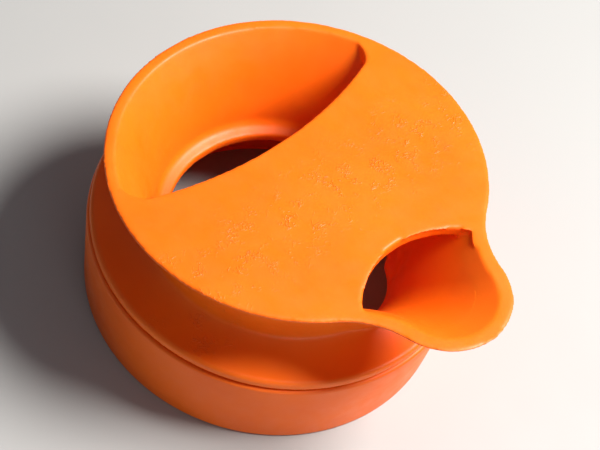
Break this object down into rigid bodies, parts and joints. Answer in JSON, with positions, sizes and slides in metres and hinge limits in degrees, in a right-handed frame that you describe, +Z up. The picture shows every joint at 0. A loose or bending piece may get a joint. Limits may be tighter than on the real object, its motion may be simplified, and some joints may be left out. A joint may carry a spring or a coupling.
{
  "type": "pour spout",
  "caption": "Low, wide screw-on pour spout: threaded swivel collar, round shoulder, flared bowl, crescent opening and a rounded pouring lip.",
  "frame": {"origin": "centre of the collar's foot, on its lower plane and on the axis of its threaded hole", "axes": "+Z up along the axis, +X the way the lip points"},
  "size_m": [0.0846, 0.0718, 0.0412],
  "materials": {
    "collar_plastic": "satin moulded plastic",
    "spout_plastic": "satin moulded plastic",
    "seal_rubber": "smooth rubber"
  },
  "bodies": {
    "collar": {"threaded_collar": "collar_plastic"},
    "spout": {"swivel_neck": "collar_plastic", "neck_seal": "seal_rubber", "mouth_gasket": "seal_rubber", "spout_body": "spout_plastic", "top_cover": "spout_plastic"}
  },
  "joints": [
    {"name": "spout_swivel", "type": "hinge", "parent": "collar", "child": "spout", "pos_m": [0, 0, 0.0142], "axis": [0, 0, 1], "continuous": true}
  ]
}
